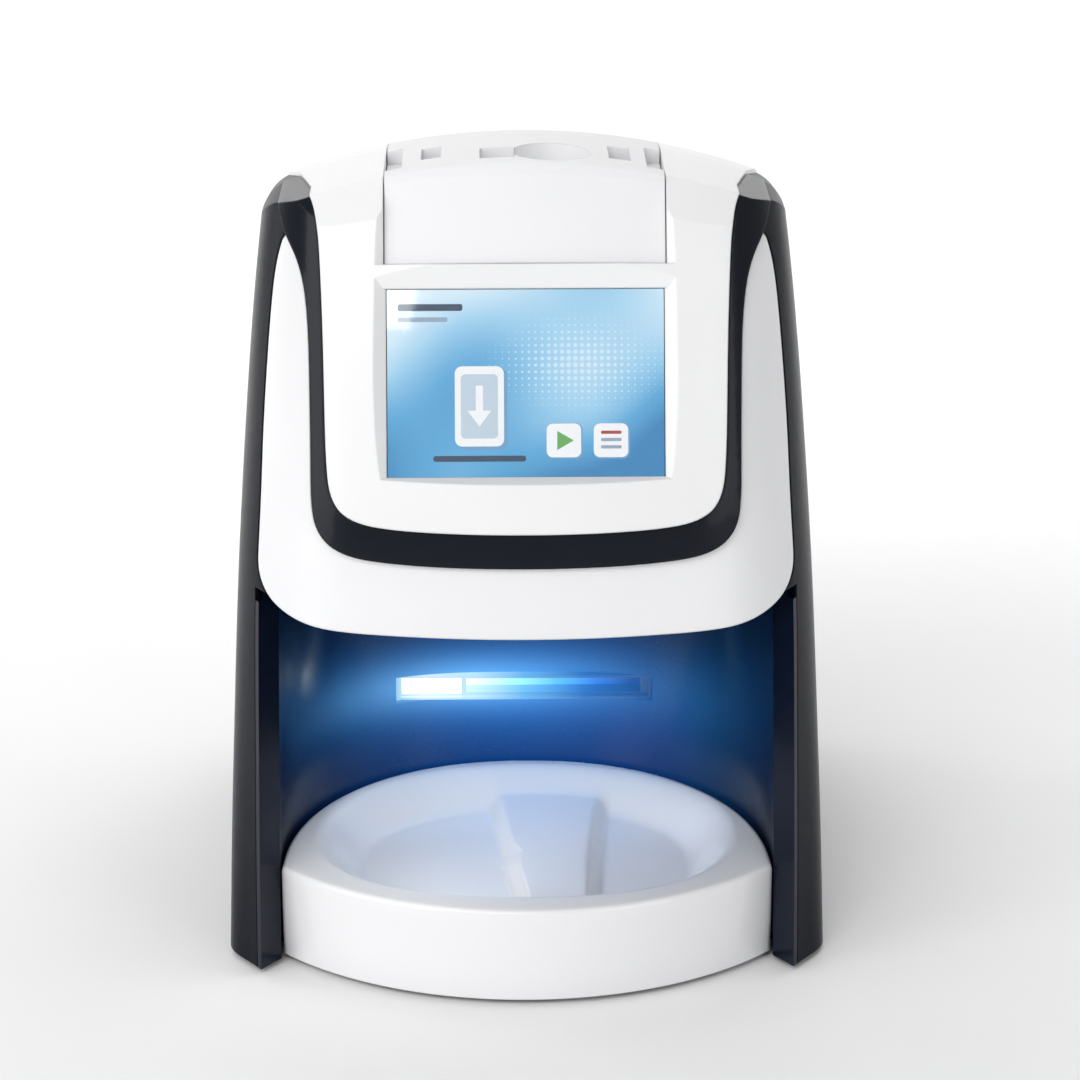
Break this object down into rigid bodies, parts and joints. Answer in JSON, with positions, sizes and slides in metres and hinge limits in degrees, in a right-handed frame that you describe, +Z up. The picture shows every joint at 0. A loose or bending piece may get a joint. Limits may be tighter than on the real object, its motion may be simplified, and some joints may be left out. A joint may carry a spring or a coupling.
{
  "type": "phosphor plate scanner",
  "caption": "Desktop scanner for dental phosphor plates: tilted touch display, lit plate slot in a bay, white collection tray, dark side panels.",
  "frame": {"origin": "centre of the footprint in the plane under the rubber feet", "axes": "+X to the right seen from the front, +Y to the back, +Z up; the slot and display face -Y"},
  "size_m": [0.1904, 0.239, 0.2524],
  "materials": {
    "head_white": "satin moulded, white",
    "panel_white": "fine matt, white",
    "trim_dark": "gloss, near black",
    "collar_grey": "satin, light grey",
    "side_graphite": "satin, graphite",
    "bay_navy": "gloss, blue-black",
    "slot_grey": "satin, light grey",
    "lamp_window": "clear, lit",
    "tray_white": "satin, white",
    "screen_glass": "polished",
    "display_lit": "lit display",
    "inner_black": "matt black",
    "board_green": "solder mask",
    "sheet_steel": "zinc plated",
    "rubber_black": "matt",
    "roller_rubber": "ground",
    "shaft_steel": "ground",
    "bush_brass": "machined",
    "gear_nylon": "moulded",
    "belt_black": "matt",
    "bench_alloy": "machined",
    "mirror_bright": "polished",
    "lens_glass": "polished",
    "fastener_steel": "plated"
  },
  "bodies": {
    "casing": {"head_shell": "head_white", "touch_glass": "screen_glass", "lcd_module": "display_lit", "display_board": "board_green", "display_bracket": "sheet_steel", "trim_band": "trim_dark", "collar_shell": "collar_grey", "side_panel_left": "side_graphite", "side_panel_right": "side_graphite", "cavity_liner": "bay_navy", "slot_bezel": "slot_grey", "slot_light_guide": "lamp_window", "slot_lamp_board": "board_green", "shutter_pin": "shaft_steel", "base_plate": "inner_black", "rubber_feet": "rubber_black", "base_screws": "fastener_steel", "rear_cover": "side_graphite", "rear_cover_screws": "fastener_steel", "power_inlet": "inner_black", "network_jack": "inner_black", "switch_housing": "inner_black", "main_board": "board_green", "transport_frame_left": "sheet_steel", "transport_frame_right": "sheet_steel", "plate_guide": "inner_black", "roller_bushes": "bush_brass", "transport_motor": "sheet_steel", "timing_belt": "belt_black", "optics_bench": "bench_alloy", "polygon_motor": "inner_black", "laser_mount": "bench_alloy", "laser_module": "bush_brass", "scan_lens": "lens_glass", "fold_mirror": "mirror_bright", "light_collector": "lens_glass", "photomultiplier": "lens_glass", "eraser_lamp": "board_green"},
    "tray": {"plate_tray": "tray_white"},
    "lid": {"top_panel": "panel_white"},
    "rocker": {"power_rocker": "inner_black"},
    "flap": {"light_shutter": "inner_black"},
    "front_drive": {"front_drive_shaft": "shaft_steel", "front_drive_sleeve": "roller_rubber", "drive_gear": "gear_nylon", "front_pulley": "bench_alloy"},
    "rear_drive": {"rear_drive_shaft": "shaft_steel", "rear_drive_sleeve": "roller_rubber", "rear_pulley": "bench_alloy"},
    "front_pinch": {"front_pinch_roller": "shaft_steel"},
    "rear_pinch": {"rear_pinch_roller": "shaft_steel"},
    "motor_rotor": {"motor_shaft": "shaft_steel", "motor_pinion": "bush_brass"},
    "polygon": {"polygon_mirror": "mirror_bright"}
  },
  "joints": [
    {"name": "tray_pull", "type": "slide", "parent": "casing", "child": "tray", "axis": [0, -1, 0], "range_m": [0, 0.11]},
    {"name": "panel_lift", "type": "slide", "parent": "casing", "child": "lid", "axis": [0, 0, 1], "range_m": [0, 0.03]},
    {"name": "power_switch", "type": "hinge", "parent": "casing", "child": "rocker", "pos_m": [-0.028, 0.1066, 0.027], "axis": [0, 0, 1], "range_deg": [0, 16]},
    {"name": "slot_flap", "type": "hinge", "parent": "casing", "child": "flap", "pos_m": [0.01, 0.0104, 0.0666], "axis": [1, 0, 0], "range_deg": [0, 60], "stiffness_Nm_per_rad": 0.001, "springref_deg": -11.46},
    {"name": "drive_turn", "type": "hinge", "parent": "casing", "child": "front_drive", "pos_m": [0.01, 0.028, 0.052], "axis": [1, 0, 0], "continuous": true},
    {"name": "rear_drive_turn", "type": "hinge", "parent": "casing", "child": "rear_drive", "pos_m": [0.01, 0.088, 0.052], "axis": [1, 0, 0], "continuous": true},
    {"name": "front_pinch_turn", "type": "hinge", "parent": "casing", "child": "front_pinch", "pos_m": [0.01, 0.028, 0.0626], "axis": [1, 0, 0], "continuous": true},
    {"name": "rear_pinch_turn", "type": "hinge", "parent": "casing", "child": "rear_pinch", "pos_m": [0.01, 0.088, 0.0626], "axis": [1, 0, 0], "continuous": true},
    {"name": "motor_turn", "type": "hinge", "parent": "casing", "child": "motor_rotor", "pos_m": [0.045, 0.03906, 0.03429], "axis": [1, 0, 0], "continuous": true},
    {"name": "polygon_spin", "type": "hinge", "parent": "casing", "child": "polygon", "pos_m": [0.01, 0.0864, 0.13], "axis": [0, 0, 1], "continuous": true}
  ],
  "couplings": [
    {"joint": "rear_drive_turn", "follows": "drive_turn", "ratio": 1},
    {"joint": "front_pinch_turn", "follows": "drive_turn", "ratio": -1.5},
    {"joint": "rear_pinch_turn", "follows": "drive_turn", "ratio": -1.5},
    {"joint": "motor_turn", "follows": "drive_turn", "ratio": -3.3333}
  ]
}
